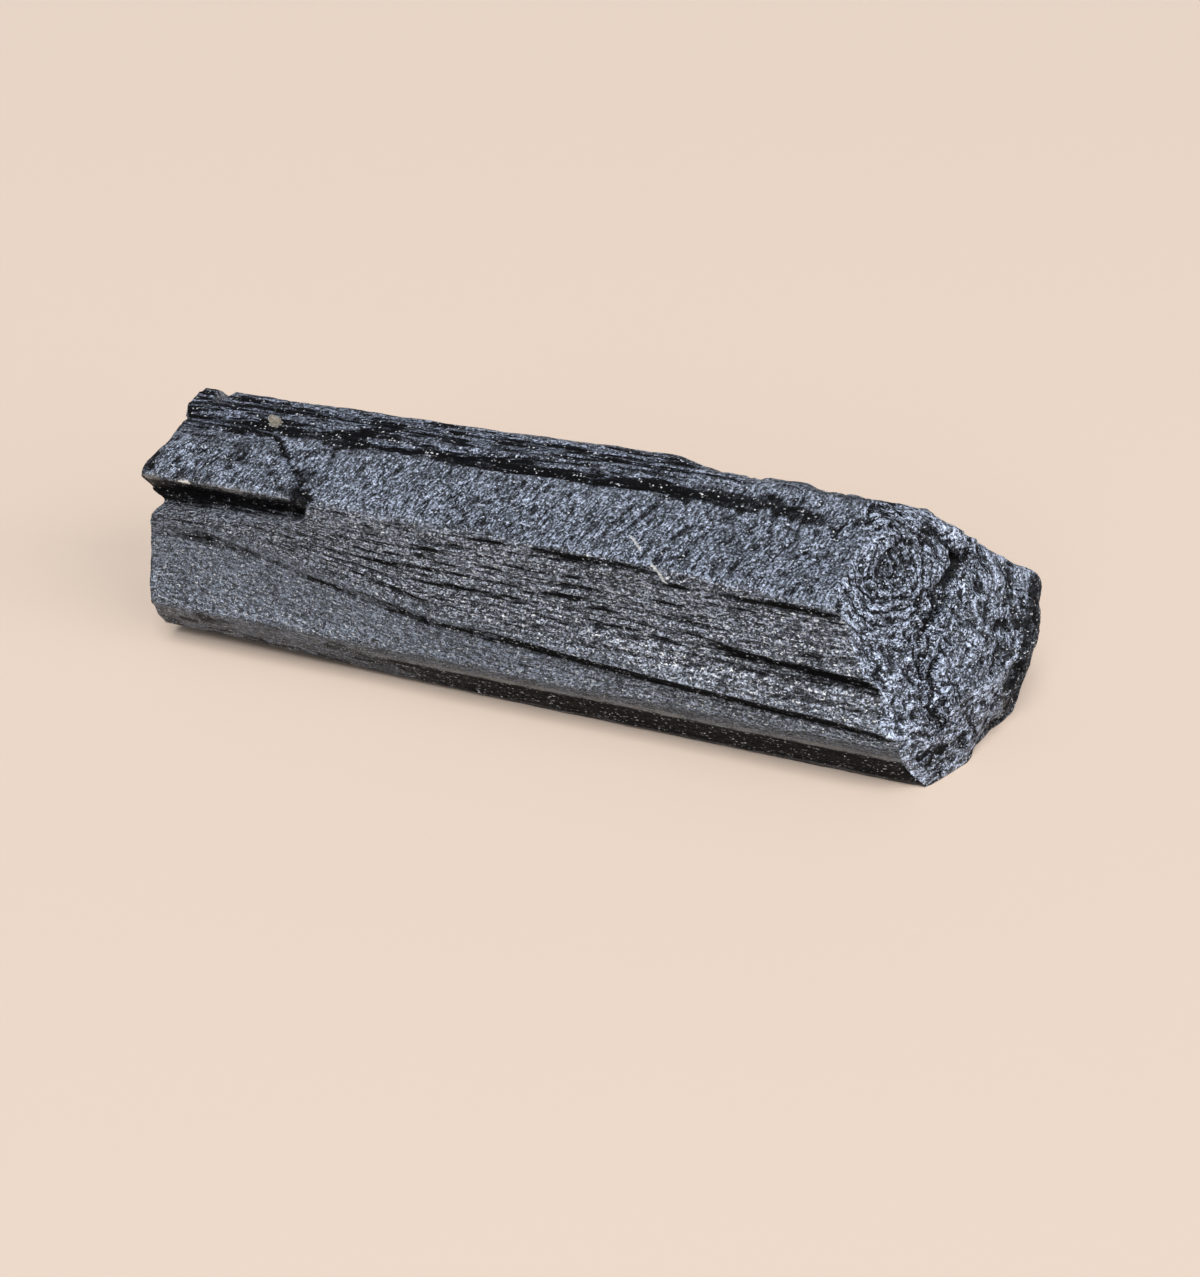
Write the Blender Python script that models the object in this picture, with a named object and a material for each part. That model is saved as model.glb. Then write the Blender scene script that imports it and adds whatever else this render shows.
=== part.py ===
"""A broken prism of black tourmaline, lying on one of its long faces.

The crystal is one solid. Its form is a prism of eight long faces, cut off nearly square at the
left end and by oblique breaks at the right end. The long front face is stepped by three growth
strips, a notch runs in from the left end under an overhanging ledge, and the breaks are lumpy.

Lengths are in millimetres until the mesh is made. X runs along the crystal, Y from its front face
to its back, Z up from the face that it rests on.
"""

import bmesh
import bpy
import numpy as np

NAME = "crystal"
MILLIMETRE = 0.001

# The axis that the crystal's radius is measured from, and the middle of its footprint.
AXIS_Y, AXIS_Z = 10.5, 13.0
MIDDLE_X, MIDDLE_Y = 53.2, 10.4

# Long faces: the way each one faces, in degrees from straight ahead (0) over the top (90) to the
# back (180), and a point (y, z) that it passes through.
UNDER_BEVEL = (-26.6, (0.0, 1.0))
FRONT = (18.0, (2.0, 21.5))
SHOULDER = (60.0, (2.0, 21.5))
TOP = (77.5, (16.0, 27.3))
BACK_SLOPE = (127.0, (16.0, 27.3))
BACK = (167.0, (21.5, 23.0))
BACK_BEVEL = (210.0, (24.0, 12.0))
BASE = (270.0, (8.0, 0.0))
EDGE_ROUNDING = 0.15

# The notch in the front face, under the ledge at the left end.
NOTCH_DEPTH = 1.9
NOTCH_FOOT = 17.1
NOTCH_END = 22.8
LEDGE_END = 23.6
LEDGE_JUT = 1.8
HORN_JUT = 1.6

# Breaks: outward direction and a point (x, y, z) on each.
LEFT_BREAK = ((-1.0, 0.0, 0.04), (1.4, 0.0, 0.0))
CORNER_CHIP = ((0.65, -0.45, 0.61), (85.2, 12.0, 26.4))
END_FRONT = ((0.82, -0.55, 0.15), (95.6, 0.0, 1.0))
END_BACK = ((0.93, -0.35, 0.0), (101.4, 10.3, 0.5))
END_EDGE = ((0.98, 0.10, 0.15), (105.4, 22.2, 8.9))
END_TOP = ((0.26, 0.47, 0.84), (94.0, 14.0, 24.0))
RIGHT_BREAKS = (CORNER_CHIP, END_FRONT, END_BACK, END_EDGE, END_TOP)

# On the right break: a knob (y, z) on its upper back rim, a crest near its top, another before its
# far edge, and a groove that runs down it.
KNOB = (19.4, 22.9)
KNOB_RADIUS, KNOB_HEIGHT = 4.9, 3.1
TOP_CREST = ((8.4, 23.7), (10.5, 23.5), (13.3, 23.8), (17.5, 23.5))
FAR_CREST = ((22.4, 15.5), (19.2, 12.8), (16.3, 9.4), (15.4, 4.4))
CREST_HEIGHT = 0.8
GROOVE = ((16.8, 19.2), (12.2, 16.6), (9.7, 15.8), (6.0, 12.7), (3.0, 7.0))
GROOVE_DEPTH = 1.0

# How the faces of the mesh are shared out. Segments go round the crystal: the front takes 44 in 100
# of them, half on each side of the long strip, and the shoulder and top 22. Rings go from end to
# end: 7 in 50 cover the left break, 29 the long faces and 14 the right break.
SEGMENTS = 100
RINGS = 50
SEGMENT_SHARES = (0.0, 0.22, 0.44, 0.66, 1.0)
SEGMENT_ANGLES = (-50.0, 0.0, 46.0, 110.0, 310.0)
LEFT_SHARE, RIGHT_SHARE = 0.14, 0.28


def smoothstep(low, high, value):
    """0 below low, 1 above high and an S-shaped rise between."""
    share = np.clip((value - low) / (high - low), 0.0, 1.0)
    return share * share * (3.0 - 2.0 * share)


def window(low, high, soft, value):
    """1 between low and high, falling to 0 over the distance soft outside each."""
    return smoothstep(low - soft, low, value) * (1.0 - smoothstep(high, high + soft, value))


def hashed(cell, seed):
    """A fixed pseudo-random number from -1 to 1 for each whole-numbered cell (n, 3)."""
    mixed = cell @ np.array([374761393, 668265263, 1274126177]) + seed * 974634777
    mixed &= 0xFFFFFFFF
    mixed = ((mixed ^ (mixed >> 13)) * 1103515245) & 0xFFFFFFFF
    mixed = ((mixed ^ (mixed >> 15)) * 2246822519) & 0xFFFFFFFF
    return ((mixed ^ (mixed >> 16)) & 0xFFFF) / 32767.5 - 1.0


def noise(points, size, seed):
    """Smooth lumps between -1 and 1, about size millimetres across."""
    scaled = points / size
    cell = np.floor(scaled).astype(np.int64)
    part = scaled - cell
    blend = part * part * (3.0 - 2.0 * part)
    total = np.zeros(len(points))
    for corner in np.ndindex(2, 2, 2):
        share = np.prod(np.where(corner, blend, 1.0 - blend), axis=1)
        total += share * hashed(cell + np.array(corner), seed)
    return total


def step(height, top, drop, run, depth):
    """A growth step: the face leans out by depth over the run above its top edge, then falls back
    over the drop below it."""
    above = np.clip(1.0 - (height - top) / run, 0.0, 1.0)
    below = np.clip(1.0 - (top - height) / drop, 0.0, 1.0)
    return depth * np.where(height > top, above, below)


def long_strip_height(x):
    """The height of the top edge of the long growth strip, which sinks from left to right."""
    return 16.4 - 5.0 * smoothstep(8.0, 46.0, x) - 0.05 * np.maximum(x - 46.0, 0.0)


def front_relief(x, y, z):
    """How far the front face stands out: three growth strips and the ledge's lip, less the notch
    below it, which narrows towards its rounded right end."""
    shoulder_edge = 21.4 - 0.8 * smoothstep(72.0, 84.0, x)
    shoulder_drop = 0.9 + 0.9 * smoothstep(60.0, 82.0, x)
    shoulder_strip = step(z, shoulder_edge, shoulder_drop, 2.0, 1.1 * window(54.0, 84.0, 10.0, x))
    middle_strip = step(z, 14.6 - 0.05 * (x - 72.0), 1.2, 4.0, 1.0 * window(76.0, 88.0, 10.0, x))
    long_strip = step(z, long_strip_height(x), 1.3, 3.0, 0.5 + 0.5 * smoothstep(40.0, 60.0, x))
    end = NOTCH_END - 0.8 * (z - 20.2) ** 2
    lip = 0.7 * smoothstep(20.8, 21.6, z) * smoothstep(LEDGE_END + 1.0, LEDGE_END - 1.0, x)
    foot = NOTCH_FOOT + 0.07 * x
    notch = NOTCH_DEPTH * smoothstep(21.5, 20.7, z) * np.clip((z - foot) / 1.4, 0.0, 1.0)
    notch *= smoothstep(end + 0.8, end - 1.2, x)
    return shoulder_strip + middle_strip + long_strip + lip - notch


def shoulder_relief(x, y, z):
    """The shoulder: a raised ledge at the left end, and a fall towards the right."""
    ledge_end = LEDGE_END - 1.2 * (y - 2.0)
    return 0.6 * smoothstep(ledge_end + 0.5, ledge_end - 0.7, x) - 0.8 * smoothstep(58.0, 78.0, x)


def base_relief(x, y, z):
    """The base: its front edge is broken away upwards along the left half."""
    return -1.8 * smoothstep(50.0, 4.0, x) * smoothstep(8.0, 0.0, y)


def top_relief(x, y, z):
    """The top face: a crack that runs in from the left end, and a low step."""
    crack = 0.4 * window(10.8, 11.0, 0.7, y) * smoothstep(12.0, 8.0, x)
    return step(y, 12.0, 1.5, 2.5, 0.35) - crack


def back_slope_relief(x, y, z):
    """The back slope: a chip at the left end and a piece broken away beyond X = 65."""
    return -1.6 * window(4.2, 4.8, 1.2, x) - 1.7 * smoothstep(62.0, 70.0, x)


LONG_FACES = (
    (UNDER_BEVEL, None),
    (FRONT, front_relief),
    (SHOULDER, shoulder_relief),
    (TOP, top_relief),
    (BACK_SLOPE, back_slope_relief),
    (BACK, None),
    (BACK_BEVEL, None),
    (BASE, base_relief),
)


def softly_least(values, rounding):
    """The least of several arrays, with the corners between them rounded."""
    values = np.array(values)
    least = values.min(axis=0)
    return least - rounding * np.log(np.exp((least - values) / rounding).sum(axis=0))


def radius(x, angle):
    """The distance from the axis to the long faces at a place along it, in the direction given by
    an angle from straight ahead over the top."""
    away_y, away_z = -np.cos(angle), np.sin(angle)
    reaches = []
    for (facing, (face_y, face_z)), relief in LONG_FACES:
        out_y, out_z = -np.cos(np.radians(facing)), np.sin(np.radians(facing))
        slant = away_y * out_y + away_z * out_z
        slant = np.where(slant > 0.02, slant, 0.02)
        height = (face_y - AXIS_Y) * out_y + (face_z - AXIS_Z) * out_z
        reach = height / slant
        if relief:
            reach += relief(x, AXIS_Y + reach * away_y, AXIS_Z + reach * away_z) / slant
        reaches.append(reach)
    return softly_least(reaches, EDGE_ROUNDING)


def lumps(y, z, seed):
    """The lumps of a broken end, as a distance along X."""
    points = np.stack([np.zeros_like(y), y, z], axis=1)
    return 0.6 * noise(points, 7.0, seed) + 0.4 * noise(points, 3.2, seed + 1)


def to_line(y, z, line):
    """The distance, seen along X, from each point to the nearest stretch of a line."""
    nearest = np.full_like(y, 1e9)
    for (start_y, start_z), (end_y, end_z) in zip(line[:-1], line[1:]):
        way_y, way_z = end_y - start_y, end_z - start_z
        share = ((y - start_y) * way_y + (z - start_z) * way_z) / (way_y**2 + way_z**2)
        share = np.clip(share, 0.0, 1.0)
        gap = np.hypot(y - start_y - share * way_y, z - start_z - share * way_z)
        nearest = np.minimum(nearest, gap)
    return nearest


def left_break(y, z):
    """The X of the left break, where the ledge and the top's back edge jut out."""
    (out_x, out_y, out_z), (face_x, face_y, face_z) = LEFT_BREAK
    flat = face_x - (out_y * (y - face_y) + out_z * (z - face_z)) / out_x
    ledge = LEDGE_JUT * window(19.2, 24.0, 1.2, z) * smoothstep(6.5, 3.0, y)
    horn = HORN_JUT * smoothstep(9.5, 12.5, y) * smoothstep(22.0, 25.0, z)
    return flat + 0.7 * lumps(y, z, 3) - ledge - horn


def right_break(y, z):
    """The X of the right break: the first of its faces that a line along the crystal meets."""
    faces = []
    for (out_x, out_y, out_z), (face_x, face_y, face_z) in RIGHT_BREAKS:
        faces.append(face_x - (out_y * (y - face_y) + out_z * (z - face_z)) / out_x)
    to_crest = np.minimum(to_line(y, z, TOP_CREST), to_line(y, z, FAR_CREST))
    crest = CREST_HEIGHT * smoothstep(1.8, 0.0, to_crest)
    groove = GROOVE_DEPTH * smoothstep(1.5, 0.0, to_line(y, z, GROOVE))
    knob = KNOB_HEIGHT * smoothstep(KNOB_RADIUS, 0.0, np.hypot(y - KNOB[0], z - KNOB[1]))
    return softly_least(faces, EDGE_ROUNDING) + lumps(y, z, 5) + knob + crest - groove


def direction(turn, x):
    """The angle of each line of segments, bent so that a line runs along the long strip."""
    angle = np.interp(turn, SEGMENT_SHARES, SEGMENT_ANGLES)
    (facing, (face_y, face_z)), strip_z = FRONT, long_strip_height(x)
    strip_y = face_y + (strip_z - face_z) * np.tan(np.radians(facing))
    strip_angle = np.degrees(np.arctan2(strip_z - AXIS_Z, AXIS_Y - strip_y))
    bend = np.interp(turn, SEGMENT_SHARES[:3], (0.0, 1.0, 0.0))
    return np.radians(angle + bend * (strip_angle - SEGMENT_ANGLES[1]))


def rim(turn, break_x, low, high):
    """The X at which the long faces meet a break, found by halving the stretch between."""
    low = np.full(len(turn), low)
    high = np.full(len(turn), high)
    for _ in range(30):
        middle = (low + high) / 2.0
        angle = direction(turn, middle)
        reach = radius(middle, angle)
        beyond = middle > break_x(AXIS_Y - reach * np.cos(angle), AXIS_Z + reach * np.sin(angle))
        low = np.where(beyond, low, middle)
        high = np.where(beyond, middle, high)
    return low


def surface_points(turn, along):
    """Points of the crystal. turn runs round it and along from end to end, both from 0 to 1."""
    left_rim = rim(turn, left_break, -5.0, 30.0)
    right_rim = rim(turn, right_break, 60.0, 120.0)
    share = np.clip((along - LEFT_SHARE) / (1.0 - LEFT_SHARE - RIGHT_SHARE), 0.0, 1.0)
    x = left_rim + (right_rim - left_rim) * share
    angle = direction(turn, x)
    inward = np.minimum(along / LEFT_SHARE, (1.0 - along) / RIGHT_SHARE)
    reach = radius(x, angle) * np.clip(inward, 0.0, 1.0)
    y = AXIS_Y - reach * np.cos(angle)
    z = AXIS_Z + reach * np.sin(angle)
    x = np.where(along < LEFT_SHARE, left_break(y, z), x)
    x = np.where(along > 1.0 - RIGHT_SHARE, right_break(y, z), x)
    return np.stack([x, y, z], axis=1)


def black_tourmaline():
    """Near-black with a cool grey sheen."""
    material = bpy.data.materials.new("black_tourmaline")
    material.use_nodes = True
    shader = material.node_tree.nodes["Principled BSDF"]
    shader.inputs["Base Color"].default_value = (0.055, 0.06, 0.072, 1.0)
    shader.inputs["Roughness"].default_value = 0.42
    shader.inputs["Metallic"].default_value = 0.0
    return material


def crystal_mesh():
    """A sphere of rings and segments whose points are moved to the crystal's surface."""
    mesh = bpy.data.meshes.new(NAME)
    ball = bmesh.new()
    bmesh.ops.create_uvsphere(ball, u_segments=SEGMENTS, v_segments=RINGS, radius=1.0)
    ball.to_mesh(mesh)
    ball.free()
    places = np.empty(len(mesh.vertices) * 3, np.float32)
    mesh.vertices.foreach_get("co", places)
    places = places.reshape(-1, 3).astype(float)
    along = np.arccos(np.clip(-places[:, 2], -1.0, 1.0)) / np.pi
    turn = np.arctan2(-places[:, 1], places[:, 0]) / (2.0 * np.pi)
    turn = np.round(turn % 1.0 * SEGMENTS) % SEGMENTS / SEGMENTS
    points = surface_points(turn, np.round(along * RINGS) / RINGS)
    points[:, 2] = np.maximum(points[:, 2], 0.0)
    points -= (MIDDLE_X, MIDDLE_Y, 0.0)
    mesh.vertices.foreach_set("co", (points * MILLIMETRE).astype(np.float32).ravel())
    mesh.update()
    return mesh


def build():
    for obj in list(bpy.data.objects):
        bpy.data.objects.remove(obj)
    collection = bpy.data.collections.new("tourmaline_crystal")
    bpy.context.scene.collection.children.link(collection)
    crystal = bpy.data.objects.new(NAME, crystal_mesh())
    crystal.data.materials.append(black_tourmaline())
    crystal.data.shade_smooth()
    crystal.data.set_sharp_from_angle(angle=np.radians(30.0))
    collection.objects.link(crystal)


build()
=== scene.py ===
"""A broken prism of black tourmaline on a pale table.

The crystal is one skin over the CAD solid. It repeats the solid's faces and adds what is too fine
for them: striations, hackle, arcs, cracks and grain. Lengths are in millimetres until a mesh is
made. X runs along the crystal, Y from its front face to its back, Z up from the table.
"""

from types import SimpleNamespace

import bpy
import numpy as np
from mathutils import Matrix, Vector


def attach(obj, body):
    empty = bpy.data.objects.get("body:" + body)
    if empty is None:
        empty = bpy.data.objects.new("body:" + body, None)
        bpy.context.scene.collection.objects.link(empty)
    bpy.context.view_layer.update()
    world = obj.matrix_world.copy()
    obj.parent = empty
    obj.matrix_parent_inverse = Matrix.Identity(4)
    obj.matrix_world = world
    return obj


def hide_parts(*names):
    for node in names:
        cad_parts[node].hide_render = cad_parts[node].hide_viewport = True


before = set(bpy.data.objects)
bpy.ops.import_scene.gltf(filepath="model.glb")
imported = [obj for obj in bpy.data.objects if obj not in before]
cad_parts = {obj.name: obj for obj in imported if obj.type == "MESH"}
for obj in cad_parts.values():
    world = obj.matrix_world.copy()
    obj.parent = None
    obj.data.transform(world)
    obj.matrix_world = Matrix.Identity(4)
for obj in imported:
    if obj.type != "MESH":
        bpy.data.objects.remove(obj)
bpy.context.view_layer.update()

MILLIMETRE = 0.001

# The axis that the crystal's radius is measured from, and the middle of its footprint.
AXIS_Y, AXIS_Z = 10.5, 13.0
MIDDLE_X, MIDDLE_Y = 53.2, 10.4

# Long faces: the way each one faces, in degrees from straight ahead (0) over the top (90) to the
# back (180), and a point (y, z) that it passes through.
UNDER_BEVEL = (-26.6, (0.0, 1.0))
FRONT = (18.0, (2.0, 21.5))
SHOULDER = (60.0, (2.0, 21.5))
TOP = (77.5, (16.0, 27.3))
BACK_SLOPE = (127.0, (16.0, 27.3))
BACK = (167.0, (21.5, 23.0))
BACK_BEVEL = (210.0, (24.0, 12.0))
BASE = (270.0, (8.0, 0.0))
EDGE_ROUNDING = 0.15

# The notch in the front face, under the ledge at the left end.
NOTCH_DEPTH = 1.9
NOTCH_FOOT = 17.1
NOTCH_END = 22.8
LEDGE_END = 23.6
LEDGE_JUT = 1.8
HORN_JUT = 1.6

# Breaks: outward direction and a point (x, y, z) on each.
LEFT_BREAK = ((-1.0, 0.0, 0.04), (1.4, 0.0, 0.0))
CORNER_CHIP = ((0.65, -0.45, 0.61), (85.2, 12.0, 26.4))
END_FRONT = ((0.82, -0.55, 0.15), (95.6, 0.0, 1.0))
END_BACK = ((0.93, -0.35, 0.0), (101.4, 10.3, 0.5))
END_EDGE = ((0.98, 0.10, 0.15), (105.4, 22.2, 8.9))
END_TOP = ((0.26, 0.47, 0.84), (94.0, 14.0, 24.0))
RIGHT_BREAKS = (CORNER_CHIP, END_FRONT, END_BACK, END_EDGE, END_TOP)

# On the right break: a knob (y, z) on its upper back rim, a crest near its top, another before its
# far edge, and a groove that runs down it.
KNOB = (19.4, 22.9)
KNOB_RADIUS, KNOB_HEIGHT = 4.9, 3.1
TOP_CREST = ((8.4, 23.7), (10.5, 23.5), (13.3, 23.8), (17.5, 23.5))
FAR_CREST = ((22.4, 15.5), (19.2, 12.8), (16.3, 9.4), (15.4, 4.4))
CREST_HEIGHT = 0.8
GROOVE = ((16.8, 19.2), (12.2, 16.6), (9.7, 15.8), (6.0, 12.7), (3.0, 7.0))
GROOVE_DEPTH = 1.0

# The eye of the swirl on the right break, and the bulge beyond the groove.
SWIRL_EYE = (88.1, 9.3, 21.4)
BULGE = (99.1, 14.6, 13.5)

# The arcs round the eye: from one to the next, and the share of that in which the surface rises.
ARC_SPACING = 1.3
ARC_RISE = 0.22

# What belongs to a break and lies beyond this X belongs to the right one.
MIDWAY = 60.0

# How the quads of the skin are shared out, round the crystal and from end to end, and how far round
# the surface each share reaches.
COLUMNS = 240
ROWS = 410
COLUMN_SHARES = (0.0, 0.22, 0.44, 0.66, 1.0)
COLUMN_ANGLES = (-50.0, 0.0, 46.0, 110.0, 310.0)
COLUMN_REACHES = (0.0, 11.5, 23.0, 40.0, 80.0)
LEFT_SHARE, RIGHT_SHARE = 0.08, 0.20

# The finishes whose share is kept at each point of the skin. Some are painted light and not
# finishes of the stone: the pale lines along edges are painted highlights, black is mostly painted
# shade, and crest and swell measure the relief, from which the material paints shade in hollows
# and light on what swells out.
FINISHES = (
    "edge_line",
    "fracture",
    "broken_end",
    "cleft",
    "top_band",
    "grit",
    "black",
    "crest",
    "swell",
)

# The centre of a painted shadow at the right end of the ledge.
LEDGE_SHADOW = (22.6, 2.1, 22.3)

# Things stuck to the crystal: the ends of a tan chip and of a pale sliver, and the bends of a
# fibre.
CHIP = ((14.5, 11.3, 26.3), (13.8, 11.8, 26.3))
SLIVER = ((6.5, 1.5, 21.7), (7.6, 1.6, 21.7))
FIBRE = ((61.5, 4.2, 22.8), (64.2, 2.0, 21.5), (66.5, 1.3, 19.3))

# How far the hackle on the shoulder leans from straight across, in radians.
HACKLE_LEAN = 0.30

# Colours. The light facets have one each on the front, the shoulder, the ends, the calm parts and
# the top.
DARK_BODY = (0.004, 0.005, 0.008, 1.0)
FRONT_FACETS = (0.43, 0.465, 0.55, 1.0)
SHOULDER_FACETS = (0.42, 0.475, 0.60, 1.0)
END_FACETS = (0.49, 0.55, 0.69, 1.0)
CALM_FACETS = (0.28, 0.32, 0.40, 1.0)
TOP_FACETS = (0.33, 0.37, 0.48, 1.0)
FLECK = (0.7, 0.7, 0.7, 1.0)
# Painted highlights along edges.
EDGE_HIGHLIGHT = (0.24, 0.22, 0.19, 1.0)
# The dark stone's black, which also paints shade.
DARK_AND_SHADE_BODY = (0.003, 0.003, 0.004, 1.0)
# Painted glints on the dark stone.
PAINTED_GLINT = (0.42, 0.43, 0.45, 1.0)
MIRRORED_LIGHT = (0.86, 0.93, 1.0, 1.0)
CHIP_TAN = (0.19, 0.165, 0.13, 1.0)
SLIVER_WHITE = (0.62, 0.60, 0.56, 1.0)
TABLE_PALE = (0.43, 0.362, 0.310, 1.0)
LAMP_WHITE = (1.0, 0.99, 0.98)
ROOM_GREY = (0.90, 0.94, 1.0, 1.0)

# The camera: where it stands, the way that it looks and its focal length in the photograph's pixels.
CAMERA_PLACE = (93.2 - MIDDLE_X, -99.9 - MIDDLE_Y, 82.95)
CAMERA_AZIMUTH, CAMERA_ELEVATION = 18.66, 34.0
PHOTO_LONG_SIDE = 1277
FOCAL_PIXELS = 1160
PICTURE_GAMMA = 0.85


# Numbers over a surface

# Large odd numbers that stir the number of a cell, of which 32 bits are kept each time, and half of
# the range that 16 of them have.
CELL_FACTORS = (374761393, 668265263, 1274126177)
SEED_FACTOR = 974634777
STIRS = ((13, 1103515245), (15, 2246822519))
WORD = 0xFFFFFFFF
HALF_RANGE = 32767.5


def smoothstep(low, high, value):
    """0 below low, 1 above high and an S-shaped rise between."""
    share = np.clip((value - low) / (high - low), 0.0, 1.0)
    return share * share * (3.0 - 2.0 * share)


def window(low, high, soft, value):
    """1 between low and high, falling to 0 over the distance soft outside each."""
    return smoothstep(low - soft, low, value) * (1.0 - smoothstep(high, high + soft, value))


def hashed(cell, seed):
    """A fixed pseudo-random number from -1 to 1 for each whole-numbered cell (n, 3)."""
    mixed = (cell @ np.array(CELL_FACTORS) + seed * SEED_FACTOR) & WORD
    for shift, factor in STIRS:
        mixed = ((mixed ^ (mixed >> shift)) * factor) & WORD
    return ((mixed ^ (mixed >> 16)) & 0xFFFF) / HALF_RANGE - 1.0


def noise(points, size, seed):
    """Smooth lumps between -1 and 1, about size millimetres across."""
    scaled = points / size
    cell = np.floor(scaled).astype(np.int64)
    part = scaled - cell
    blend = part * part * (3.0 - 2.0 * part)
    total = np.zeros(len(points))
    for corner in np.ndindex(2, 2, 2):
        share = np.prod(np.where(corner, blend, 1.0 - blend), axis=1)
        total += share * hashed(cell + np.array(corner), seed)
    return total


def rough(points, size, seed, octaves=3):
    """Noise over itself: each octave is half the size and half the height of the one before."""
    total = np.zeros(len(points))
    for octave in range(octaves):
        total += 0.5**octave * noise(points, np.asarray(size) / 2.0**octave, seed + octave)
    return total


def ridges(points, size, seed, octaves=2):
    """Sharp-crested noise: crests at 1 where the noise passes through 0."""
    total = np.zeros(len(points))
    for octave in range(octaves):
        wave = noise(points, np.asarray(size) / 2.0**octave, seed + octave)
        total += 0.5**octave * (1.0 - 3.0 * np.abs(wave))
    return total


# The solid's form


def step(height, top, drop, run, depth):
    """A growth step: the face leans out by depth over the run above its top edge, then falls back
    over the drop below it."""
    above = np.clip(1.0 - (height - top) / run, 0.0, 1.0)
    below = np.clip(1.0 - (top - height) / drop, 0.0, 1.0)
    return depth * np.where(height > top, above, below)


def long_strip_height(x):
    """The height of the top edge of the long growth strip, which sinks from left to right."""
    return 16.4 - 5.0 * smoothstep(8.0, 46.0, x) - 0.05 * np.maximum(x - 46.0, 0.0)


def front_relief(x, y, z):
    """How far the front face stands out: three growth strips and the ledge's lip, less the notch
    below it, which narrows towards its rounded right end."""
    shoulder_edge = 21.4 - 0.8 * smoothstep(72.0, 84.0, x)
    shoulder_drop = 0.9 + 0.9 * smoothstep(60.0, 82.0, x)
    shoulder_strip = step(z, shoulder_edge, shoulder_drop, 2.0, 1.1 * window(54.0, 84.0, 10.0, x))
    middle_strip = step(z, 14.6 - 0.05 * (x - 72.0), 1.2, 4.0, 1.0 * window(76.0, 88.0, 10.0, x))
    long_strip = step(z, long_strip_height(x), 1.3, 3.0, 0.5 + 0.5 * smoothstep(40.0, 60.0, x))
    end = NOTCH_END - 0.8 * (z - 20.2) ** 2
    lip = 0.7 * smoothstep(20.8, 21.6, z) * smoothstep(LEDGE_END + 1.0, LEDGE_END - 1.0, x)
    foot = NOTCH_FOOT + 0.07 * x
    notch = NOTCH_DEPTH * smoothstep(21.5, 20.7, z) * np.clip((z - foot) / 1.4, 0.0, 1.0)
    notch *= smoothstep(end + 0.8, end - 1.2, x)
    return shoulder_strip + middle_strip + long_strip + lip - notch


def shoulder_relief(x, y, z):
    """The shoulder: a raised ledge at the left end, and a fall towards the right."""
    ledge_end = LEDGE_END - 1.2 * (y - 2.0)
    return 0.6 * smoothstep(ledge_end + 0.5, ledge_end - 0.7, x) - 0.8 * smoothstep(58.0, 78.0, x)


def base_relief(x, y, z):
    """The base: its front edge is broken away upwards along the left half."""
    return -1.8 * smoothstep(50.0, 4.0, x) * smoothstep(8.0, 0.0, y)


def top_relief(x, y, z):
    """The top face: a crack that runs in from the left end, and a low step."""
    crack = 0.4 * window(10.8, 11.0, 0.7, y) * smoothstep(12.0, 8.0, x)
    return step(y, 12.0, 1.5, 2.5, 0.35) - crack


def back_slope_relief(x, y, z):
    """The back slope: a chip at the left end and a piece broken away beyond X = 65."""
    return -1.6 * window(4.2, 4.8, 1.2, x) - 1.7 * smoothstep(62.0, 70.0, x)


LONG_FACES = (
    (UNDER_BEVEL, None),
    (FRONT, front_relief),
    (SHOULDER, shoulder_relief),
    (TOP, top_relief),
    (BACK_SLOPE, back_slope_relief),
    (BACK, None),
    (BACK_BEVEL, None),
    (BASE, base_relief),
)


def softly_least(values, rounding):
    """The least of several arrays, with the corners between them rounded."""
    values = np.array(values)
    least = values.min(axis=0)
    return least - rounding * np.log(np.exp((least - values) / rounding).sum(axis=0))


def reaches(x, angle, fine=None):
    """The distance from the axis to each long face, in the direction given by an angle from
    straight ahead over the top. fine is each face's fine relief."""
    away_y, away_z = -np.cos(angle), np.sin(angle)
    found = []
    for index, ((facing, (face_y, face_z)), relief) in enumerate(LONG_FACES):
        out_y, out_z = -np.cos(np.radians(facing)), np.sin(np.radians(facing))
        slant = away_y * out_y + away_z * out_z
        slant = np.where(slant > 0.02, slant, 0.02)
        height = (face_y - AXIS_Y) * out_y + (face_z - AXIS_Z) * out_z
        reach = height / slant
        if relief:
            reach += relief(x, AXIS_Y + reach * away_y, AXIS_Z + reach * away_z) / slant
        if fine is not None:
            reach += fine[index] / slant
        found.append(reach)
    return np.array(found)


def lumps(y, z, seed):
    """The lumps of a broken end, as a distance along X."""
    points = np.stack([np.zeros_like(y), y, z], axis=1)
    return 0.6 * noise(points, 7.0, seed) + 0.4 * noise(points, 3.2, seed + 1)


def to_line(y, z, line):
    """The distance, seen along X, from each point to the nearest stretch of a line."""
    nearest = np.full_like(y, 1e9)
    for (start_y, start_z), (end_y, end_z) in zip(line[:-1], line[1:]):
        way_y, way_z = end_y - start_y, end_z - start_z
        share = ((y - start_y) * way_y + (z - start_z) * way_z) / (way_y**2 + way_z**2)
        share = np.clip(share, 0.0, 1.0)
        gap = np.hypot(y - start_y - share * way_y, z - start_z - share * way_z)
        nearest = np.minimum(nearest, gap)
    return nearest


def left_break(y, z):
    """The X of the left break, where the ledge and the top's back edge jut out."""
    (out_x, out_y, out_z), (face_x, face_y, face_z) = LEFT_BREAK
    flat = face_x - (out_y * (y - face_y) + out_z * (z - face_z)) / out_x
    ledge = LEDGE_JUT * window(19.2, 24.0, 1.2, z) * smoothstep(6.5, 3.0, y)
    horn = HORN_JUT * smoothstep(9.5, 12.5, y) * smoothstep(22.0, 25.0, z)
    return flat + 0.7 * lumps(y, z, 3) - ledge - horn


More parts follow.
